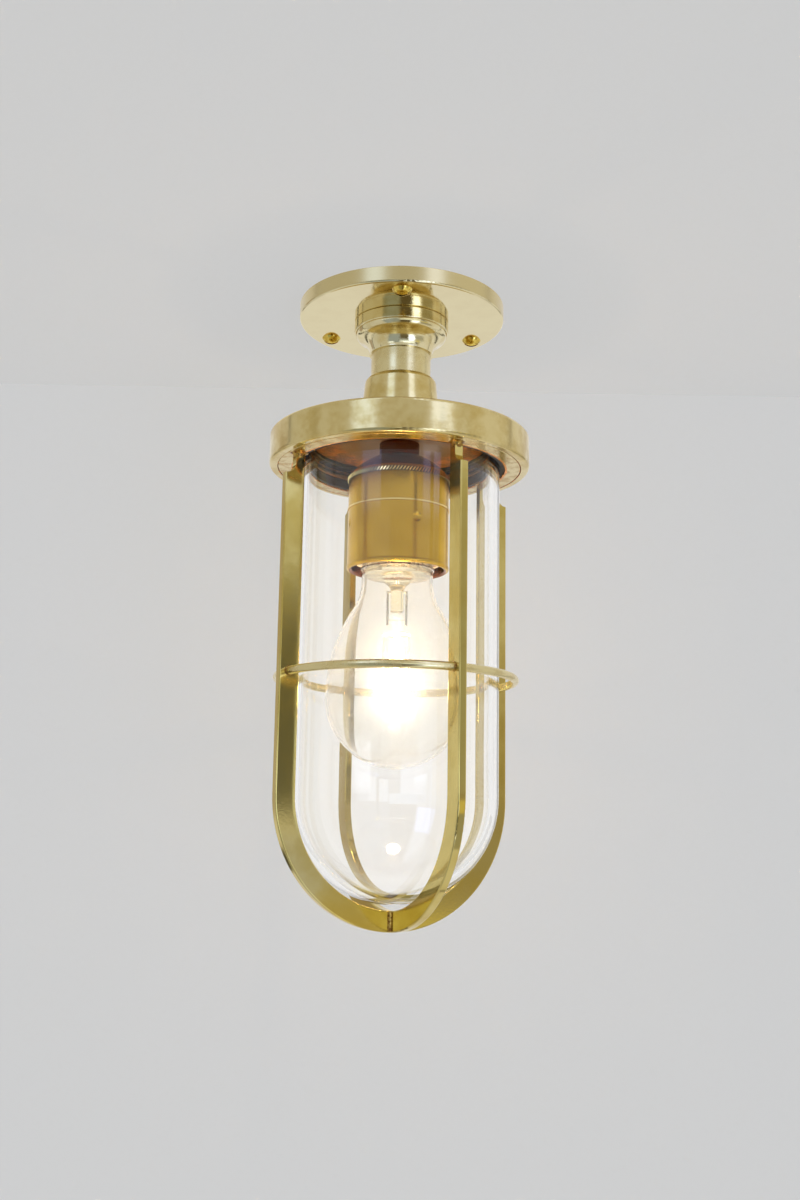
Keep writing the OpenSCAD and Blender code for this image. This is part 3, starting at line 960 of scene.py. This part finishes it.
class LIGHT_OT_lampholder(Operator):
    """Dresses the lampholder and makes its cap with a knurled edge"""

    bl_idname = "light.lampholder"
    bl_label = "Lampholder"

    def execute(self, context):
        spun = holder_brass()
        dress(["holder_shell"], spun)
        dress(["holder_core"], glazed_porcelain())
        terminals = ["live_terminal", "neutral_terminal", "earth_terminal"]
        dress(["thread_liner", *terminals], inner_brass())
        dress(["terminal_screws", "contact_pin"], nickelled_steel())
        dress(["centre_contact"], screw_brass())
        self.knurled_cap(context.scene.detail_settings, spun)
        return {"FINISHED"}

    def knurled_cap(self, details, metal):
        """A domed cap in one piece with the ring of slanting teeth that a hand grips."""
        low, high = foot_of("holder_cap"), head_of("holder_cap")
        rim = radius_of("holder_cap")
        skin, under = rim - 0.4 * MM, rim - details.knurl_depth - 0.05 * MM
        neck, collar, bore, wall = 8 * MM, 4 * MM, 5 * MM, 1 * MM
        ring_top = low + KNURL_HEIGHT
        rise = high - collar - ring_top
        dome = (skin * skin + rise * rise) / 2 / rise
        centre = ring_top + rise - dome

        def dome_arc(radius, first, last, steps=14):
            """Points on a dome from one distance from the axis to another."""
            spread = [first + (last - first) * i / steps for i in range(steps + 1)]
            return [(r, centre + math.sqrt(radius * radius - r * r)) for r in spread]

        foot = (skin - wall, low)
        points = [foot, (under, low), (under, ring_top), (skin - 0.2 * MM, ring_top)]
        points += [*dome_arc(dome, skin, neck), (neck, high), (bore, high)]
        points += [*dome_arc(dome - wall, bore, skin - wall), foot]
        shape = bmesh.new()
        turn(shape, points)
        self.teeth(shape, details, rim, under, low, ring_top)
        made = finish_piece("holder_cap_knurled", shape, "light", metal, 30)
        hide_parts("holder_cap")

    def teeth(self, shape, details, rim, under, low, high):
        """A ring of ridges, leaning by one tooth over the ring's height.

        The shares give the height of each ring of corners above the first. The first and the
        last lie under the cap's skin, so that the teeth end in slopes.
        """
        count = details.knurl_teeth
        made = bmesh.ops.create_circle(shape, cap_ends=False, radius=rim, segments=2 * count)
        bottom = made["verts"]
        for vert in bottom:
            step = round(math.atan2(vert.co.y, vert.co.x) / math.tau * 2 * count)
            if step % 2:
                vert.co *= (rim - details.knurl_depth) / rim
        inset = under / rim
        bmesh.ops.scale(shape, vec=(inset, inset, 1), verts=bottom)
        bmesh.ops.translate(shape, verts=bottom, vec=(0, 0, low))
        edges = list({edge for vert in bottom for edge in vert.link_edges})
        shares = (0.12, 0.38, 0.62, 0.88, 1.0)
        before, grown = 0, inset
        for share in shares:
            step = share - before
            pulled = bmesh.ops.extrude_edge_only(shape, edges=edges)
            verts = [item for item in pulled["geom"] if isinstance(item, bmesh.types.BMVert)]
            edges = [item for item in pulled["geom"] if isinstance(item, bmesh.types.BMEdge)]
            full = 1 if share < 1 else inset
            bmesh.ops.scale(shape, vec=(full / grown, full / grown, 1), verts=verts)
            lean = Matrix.Rotation(step * math.tau / count, 3, "Z")
            bmesh.ops.rotate(shape, verts=verts, cent=(0, 0, 0), matrix=lean)
            bmesh.ops.translate(shape, verts=verts, vec=(0, 0, step * (high - low)))
            before, grown = share, full


class LIGHT_OT_well_glass(Operator):
    """Gives the well glass its thick clear glass"""

    bl_idname = "light.well_glass"
    bl_label = "Well glass"

    def execute(self, context):
        dress(["well_glass"], moulded_soda_glass())
        return {"FINISHED"}


class LIGHT_OT_guard(Operator):
    """Dresses the guard, and brazes its bars to the ring, the hoop and each other"""

    bl_idname = "light.guard"
    bl_label = "Guard"

    def execute(self, context):
        dress(["guard_arch", "front_leg", "back_leg"], guard_brass())
        dress(["guard_hoop"], drawn_brass())
        dress(["guard_ring"], threaded_ring_brass())
        bars = [self.first_bar() + math.tau * i / 4 for i in range(4)]
        alloy = braze_alloy()
        self.join("braze_at_ring", self.fillets_at_ring(bars), alloy)
        self.join("braze_at_hoop", self.beads_at_hoop(bars), alloy)
        self.join("braze_at_foot", self.fillets_at_foot(bars), alloy)
        return {"FINISHED"}

    def first_bar(self):
        """The angle at which a bar stands, from the front leg's outer face in the model."""
        corners = [vert.co for vert in frame["nodes"]["front_leg"].data.vertices]
        reach = max(math.hypot(corner.x, corner.y) for corner in corners)
        face = [corner for corner in corners if math.hypot(corner.x, corner.y) > reach - 1 * MM]
        middle = sum(face, Vector()) / len(face)
        return math.atan2(middle.y, middle.x)

    def swing_out(self, shape, offset, angle):
        """Moves a shape out from the light's axis and swings it round to an angle."""
        place = Matrix.Rotation(angle, 4, "Z") @ Matrix.Translation(offset)
        bmesh.ops.transform(shape, matrix=place, verts=shape.verts)
        return shape

    def join(self, name, shapes, alloy):
        """Puts several shapes into one piece that rides on the guard."""
        whole = bmesh.new()
        for shape in shapes:
            mesh = bpy.data.meshes.new(name)
            shape.to_mesh(mesh)
            shape.free()
            whole.from_mesh(mesh)
            bpy.data.meshes.remove(mesh)
        finish_piece(name, whole, "guard", alloy)

    def fillets_at_ring(self, bars):
        """Alloy that flares from each bar's neck on to the ring's face."""
        width, depth = 4.1 * MM, 3.6 * MM
        neck = (radius_of("well_glass") - 2 * MM, 0, foot_of("guard_ring") - 2.12 * MM)
        flare = ((0.9 * MM, 1.06), (0.6 * MM, 1.12), (0.4 * MM, 1.2), (0.25 * MM, 1.25))
        shapes = []
        for angle in bars:
            shape = bmesh.new()
            made = bmesh.ops.create_circle(shape, cap_ends=True, radius=1, segments=20)
            bmesh.ops.scale(shape, vec=(width / 2, depth / 2, 1), verts=made["verts"])
            face = shape.faces[:][0]
            for rise, grow in flare:
                face = bmesh.ops.extrude_discrete_faces(shape, faces=[face])["faces"][0]
                bmesh.ops.translate(shape, verts=face.verts, vec=(0, 0, rise))
                bmesh.ops.scale(shape, vec=(grow, grow, 1), verts=face.verts)
            shapes.append(self.swing_out(shape, neck, angle))
        return shapes

    def beads_at_hoop(self, bars):
        """A bead of alloy on both sides of each bar, where the hoop's wire goes through."""
        low, high = foot_of("guard_hoop"), head_of("guard_hoop")
        wire = (high - low) / 2
        size, length, apart = wire + 0.35 * MM, 0.9 * MM, 1.75 * MM
        shapes = []
        for angle in bars:
            for side in (-apart, apart):
                shape = bmesh.new()
                made = bmesh.ops.create_icosphere(shape, subdivisions=3, radius=1)
                bmesh.ops.scale(shape, vec=(size, length, size), verts=made["verts"])
                centre = (radius_of("guard_hoop") - wire, side, low + wire)
                shapes.append(self.swing_out(shape, centre, angle))
        return shapes

    def fillets_at_foot(self, bars):
        """Alloy in the four corners where the legs meet the arch, under the glass."""
        thick, tall = 1.1 * MM, 7.4 * MM
        corner = (2.35 * MM, 0, foot_of("guard_arch") + 4.1 * MM)
        shapes = []
        for angle in bars:
            shape = bmesh.new()
            bmesh.ops.create_cone(
                shape, cap_ends=True, segments=12, radius1=thick, radius2=thick, depth=tall
            )
            shapes.append(self.swing_out(shape, corner, angle + math.tau / 8))
        return shapes


class LIGHT_OT_lamp(Operator):
    """Dresses the lamp, rolls its cap's thread and coils its filament"""

    bl_idname = "light.lamp"
    bl_label = "Lamp"

    def execute(self, context):
        details = context.scene.detail_settings
        dress(["bulb_glass"], blown_lamp_glass())
        dress(["bulb_stem"], pressed_stem_glass())
        dress(["bulb_insulator"], vitrite())
        dress(["bulb_contact", "left_support", "right_support"], nickelled_steel())
        dress(["halogen_capsule"], lit_quartz())
        self.threaded_cap(details.cap_pitch)
        self.coil(details.coil_turns)
        return {"FINISHED"}

    def threaded_cap(self, pitch):
        """A rolled round thread between the cap's skirt and its shoulder."""
        crest, depth = 13.1 * MM, 0.9 * MM
        root = crest - depth
        low, high = foot_of("bulb_cap"), head_of("bulb_cap")
        start, end = low + 3.4 * MM, high - 0.6 * MM
        wave = [
            (crest - depth * (0.5 - 0.5 * math.cos(math.tau * i / 12)), start + pitch * i / 12)
            for i in range(13)
        ]
        shape = bmesh.new()
        wind(shape, outline(shape, wave), (end - start) / pitch - 1, pitch, steps=60)
        skirt = radius_of("bulb_cap")
        core = [
            (skirt - 0.6 * MM, low),
            (skirt, low + 0.2 * MM),
            (skirt, low + 1 * MM),
            (root + 0.5 * MM, start - 0.4 * MM),
            (root + 0.05 * MM, start),
            (root + 0.05 * MM, high - 0.5 * MM),
            (root - 0.5 * MM, high),
            (0, high),
        ]
        turn(shape, core)
        metal = rolled_aluminium()
        made = finish_piece("bulb_cap_threaded", shape, "lamp", metal, 50)
        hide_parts("bulb_cap")

    def coil(self, turns):
        """A close coil of tungsten wire along the capsule's axis."""
        wire, around, sides = 0.22 * MM, 1.1 * MM, 6
        low, high = foot_of("filament"), head_of("filament")
        pitch = (high - low - 2 * wire) / turns
        corners = [math.tau * i / sides for i in range(sides)]
        ring = [(around + wire * math.cos(a), low + wire + wire * math.sin(a)) for a in corners]
        shape = bmesh.new()
        wind(shape, section(shape, ring), turns, pitch, steps=14)
        metal = glowing_tungsten()
        made = finish_piece("coiled_filament", shape, "lamp", metal, 80)
        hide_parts("filament")


# Stage

# Each patch of the studio's light has its azimuth, in degrees from the front of the light
# towards its right, its rise, the sine of the angle above the horizon, and its colour. A
# patch covers those before it.
STUDIO = (
    # Walls at the right and behind, with dark lines at the corners of the room
    ((50, 113), (-1, 1), (0.8, 0.8, 0.8)),
    ((114, 190), (-1.2, 1.2), (0.84, 0.84, 0.86)),
    ((-190, -114), (-1.2, 1.2), (0.84, 0.84, 0.86)),
    ((111, 114), (-1, 1), (0.15, 0.14, 0.12)),
    ((-114, -111), (-1, 1), (0.15, 0.14, 0.12)),
    # The upper parts of both windows
    ((-42, -20), (0.25, 0.9), (1.2, 1.45, 2.3)),
    ((27, 47), (0.25, 0.9), (1.4, 1.6, 2.5)),
    # Dull ground, and the right window's lower part with its brightest pane
    ((-47, -5), (-0.95, 0.15), (0.36, 0.42, 0.5)),
    ((-5, 26), (-0.95, -0.15), (0.15, 0.13, 0.09)),
    ((26, 46), (-0.95, 0.15), (1.2, 1.35, 1.6)),
    ((27, 46), (-0.6, -0.2), (2.2, 2.6, 4.3)),
    # Two bright sills just above the horizon
    ((-47, -26), (0.05, 0.087), (1.8, 2.0, 2.4)),
    ((7, 32), (0.02, 0.07), (1.8, 2.0, 2.4)),
    # A grey thing low on the right, and three uprights behind
    ((50, 82), (-0.6, -0.15), (0.44, 0.44, 0.4)),
    ((134, 142), (-0.7, -0.08), (0.12, 0.12, 0.1)),
    ((-142, -134), (-0.7, -0.08), (0.12, 0.12, 0.1)),
    ((-128, -115), (-0.3, 0.3), (0.46, 0.4, 0.35)),
    # Darker and paler panels on the right, which the front bar's faces mirror
    ((57, 66), (-0.2, 0.05), (0.42, 0.38, 0.29)),
    ((57, 61), (0.05, 0.28), (0.38, 0.39, 0.31)),
    ((61, 66), (0.05, 0.16), (0.56, 0.51, 0.38)),
    ((61, 66), (0.16, 0.28), (0.74, 0.73, 0.68)),
    ((49.5, 57), (0.03, 0.2), (0.17, 0.17, 0.15)),
    ((49.5, 57), (0.2, 0.3), (0.92, 1.0, 1.3)),
    ((47, 57), (-0.04, 0.012), (0.6, 0.66, 1.0)),
    ((47, 66), (-0.2, -0.04), (0.78, 0.7, 0.3)),
    # Pale strips in front, and two thin dark posts
    ((-30, -10), (0.19, 0.25), (0.84, 0.84, 0.84)),
    ((-8, 16), (0.19, 0.25), (0.55, 0.54, 0.5)),
    ((-5, 26), (-0.15, 0.01), (1.35, 1.6, 2.0)),
    ((35, 39), (0.19, 0.3), (0.1, 0.08, 0.06)),
    ((-80, -76), (0.19, 0.3), (0.25, 0.23, 0.2)),
)


class LIGHT_OT_stage(Operator):
    """Sets the pale ceiling and wall, the soft light, the lamp's own light and the camera"""

    bl_idname = "light.stage"
    bl_label = "Stage and camera"

    def execute(self, context):
        stage = context.scene.stage_settings
        self.room(stage.wall_gap)
        self.studio(context.scene)
        self.lamp_light(stage.lamp_power)
        self.camera(context.scene, stage)
        context.scene.view_settings.view_transform = "Standard"
        return {"FINISHED"}

    def paint(self, name, level, lit):
        """Pale wall paint, seen at one even level, that still takes the object's shadow.

        Through the glass it is brighter, a painted glow for the lamp's light on it. From its back
        it is clear, so that views from above or behind aren't blocked.
        """
        material, tree = empty_material(name)
        path = add(tree, "ShaderNodeLightPath")
        through = path.outputs["Is Transmission Ray"]
        # Seen through the glass the paint is brighter: a painted glow of the lamp's light.
        strength = add(
            tree, "ShaderNodeMix", {"Factor": through, 2: level, 3: lit}, data_type="FLOAT"
        )
        even = add(tree, "ShaderNodeEmission", {"Color": PALE, "Strength": strength})
        shaded = add(tree, "ShaderNodeBsdfDiffuse", {"Color": PALE})
        direct = path.outputs["Is Camera Ray"]
        seen = add(tree, "ShaderNodeMath", {0: direct, 1: through}, operation="MAXIMUM")
        share = add(tree, "ShaderNodeMath", {0: seen, 1: 0.8}, operation="MULTIPLY")
        front = add(tree, "ShaderNodeMixShader", {0: share, 1: shaded, 2: even})
        behind = add(tree, "ShaderNodeNewGeometry").outputs["Backfacing"]
        clear = add(tree, "ShaderNodeBsdfTransparent")
        both = add(tree, "ShaderNodeMixShader", {0: behind, 1: front, 2: clear})
        add(tree, "ShaderNodeOutputMaterial", {"Surface": both})
        return material

    def room(self, gap):
        """A ceiling over the light and a wall behind it, both one-sided."""
        above = Matrix.Translation((0, gap - 1, 0)) @ Matrix.Rotation(math.pi, 4, "X")
        behind = Matrix.Translation((0, gap, -1)) @ Matrix.Rotation(math.pi / 2, 4, "X")
        self.sheet("ceiling", above, self.paint("ceiling_paint", level=1.06, lit=1.06))
        # The wall's higher level through the glass is a painted glow of the lamp.
        self.sheet("wall", behind, self.paint("wall_paint", level=1.09, lit=1.6))

    def sheet(self, name, place, material):
        """A flat sheet, 3 by 2 metres, that doesn't show in the brass."""
        shape = bmesh.new()
        made = bmesh.ops.create_grid(shape, x_segments=1, y_segments=1, size=1)
        bmesh.ops.scale(shape, vec=(1.5, 1, 1), verts=made["verts"])
        bmesh.ops.transform(shape, matrix=place, verts=made["verts"])
        mesh = bpy.data.meshes.new(name)
        shape.to_mesh(mesh)
        shape.free()
        mesh.materials.append(material)
        plane = bpy.data.objects.new(name, mesh)
        plane.visible_glossy = False
        bpy.context.scene.collection.objects.link(plane)

    def studio(self, scene):
        """A pale room with two tall cool windows in front, and darker things between them.

        The direction of a ray sets the tone, from the patches in STUDIO, with soft edges.
        """
        world = bpy.data.worlds.new("studio")
        world.use_nodes = True
        tree = world.node_tree
        tree.nodes.clear()
        way = add(tree, "ShaderNodeTexCoord").outputs["Generated"]
        x, y, rise = add(tree, "ShaderNodeSeparateXYZ", {0: way}).outputs
        front = add(tree, "ShaderNodeMath", {0: y, 1: -1.0}, operation="MULTIPLY")
        turned = add(tree, "ShaderNodeMath", {0: x, 1: front}, operation="ARCTAN2")
        degrees = 360 / math.tau
        azimuth = add(tree, "ShaderNodeMath", {0: turned, 1: degrees}, operation="MULTIPLY")
        tone = (0.66, 0.66, 0.65, 1.0)
        for across, up, colour in STUDIO:
            wide = within(tree, azimuth, *across, soft=1.2)
            tall = within(tree, rise, *up, soft=0.008)
            area = add(tree, "ShaderNodeMath", {0: wide, 1: tall}, operation="MULTIPLY")
            tone = layered(tree, tone, (area, (*colour, 1.0)))
        light = add(tree, "ShaderNodeBackground", {"Color": tone, "Strength": 1.0})
        plain = add(tree, "ShaderNodeBackground", {"Color": PALE, "Strength": 1.0})
        path = add(tree, "ShaderNodeLightPath")
        seen = add(
            tree, "ShaderNodeMixShader", {0: path.outputs["Is Camera Ray"], 1: light, 2: plain}
        )
        add(tree, "ShaderNodeOutputWorld", {"Surface": seen})
        scene.world = world

    def lamp_light(self, power):
        """The lamp's own light, warm, from inside its capsule."""
        light = bpy.data.lights.new("lamp_light", "POINT")
        light.energy = power
        light.shadow_soft_size = 4 * MM
        light.color = linear("#FFD49A")[:3]
        made = bpy.data.objects.new("lamp_light", light)
        made.location = (0, 0, (foot_of("filament") + head_of("filament")) / 2)
        bpy.context.scene.collection.objects.link(made)

    def camera(self, scene, stage):
        """The photograph's camera: below the light, looking up a little."""
        lens = bpy.data.cameras.new("camera")
        lens.sensor_fit = "VERTICAL"
        lens.sensor_height = 36
        lens.lens = stage.focal_share * lens.sensor_height
        lens.clip_start = 0.01
        made = bpy.data.objects.new("camera", lens)
        aim = (
            Matrix.Rotation(stage.camera_yaw, 4, "Z")
            @ Matrix.Rotation(stage.camera_pitch, 4, "X")
            @ Matrix.Rotation(stage.camera_roll, 4, "Y")
            @ Matrix.Rotation(math.pi / 2, 4, "X")
        )
        made.matrix_world = Matrix.Translation(stage.camera_place) @ aim
        scene.collection.objects.link(made)
        scene.camera = made


class LIGHT_PT_panel(Panel):
    """Lists the light's pieces, sizes and colours"""

    bl_idname = "LIGHT_PT_panel"
    bl_label = "Well glass light"
    bl_space_type = "VIEW_3D"
    bl_region_type = "UI"
    bl_category = "Well glass light"

    def draw(self, context):
        for step in STEPS:
            self.layout.operator(step.bl_idname)
        for group in ("brass_settings", "detail_settings", "stage_settings"):
            box = self.layout.box()
            settings = getattr(context.scene, group)
            for name in settings.__annotations__:
                box.prop(settings, name)


STEPS = (
    LIGHT_OT_plate_and_neck,
    LIGHT_OT_gallery,
    LIGHT_OT_lampholder,
    LIGHT_OT_well_glass,
    LIGHT_OT_guard,
    LIGHT_OT_lamp,
    LIGHT_OT_stage,
)
GROUPS = (BrassSettings, DetailSettings, StageSettings)


def register():
    for item in (*GROUPS, *STEPS, LIGHT_PT_panel):
        bpy.utils.register_class(item)
    bpy.types.Scene.brass_settings = PointerProperty(type=BrassSettings)
    bpy.types.Scene.detail_settings = PointerProperty(type=DetailSettings)
    bpy.types.Scene.stage_settings = PointerProperty(type=StageSettings)


def unregister():
    del bpy.types.Scene.stage_settings
    del bpy.types.Scene.detail_settings
    del bpy.types.Scene.brass_settings
    for item in reversed((*GROUPS, *STEPS, LIGHT_PT_panel)):
        bpy.utils.unregister_class(item)


def main():
    register()
    bpy.ops.light.plate_and_neck()
    bpy.ops.light.gallery()
    bpy.ops.light.lampholder()
    bpy.ops.light.well_glass()
    bpy.ops.light.guard()
    bpy.ops.light.lamp()
    bpy.ops.light.stage()


if __name__ == "__main__":
    main()
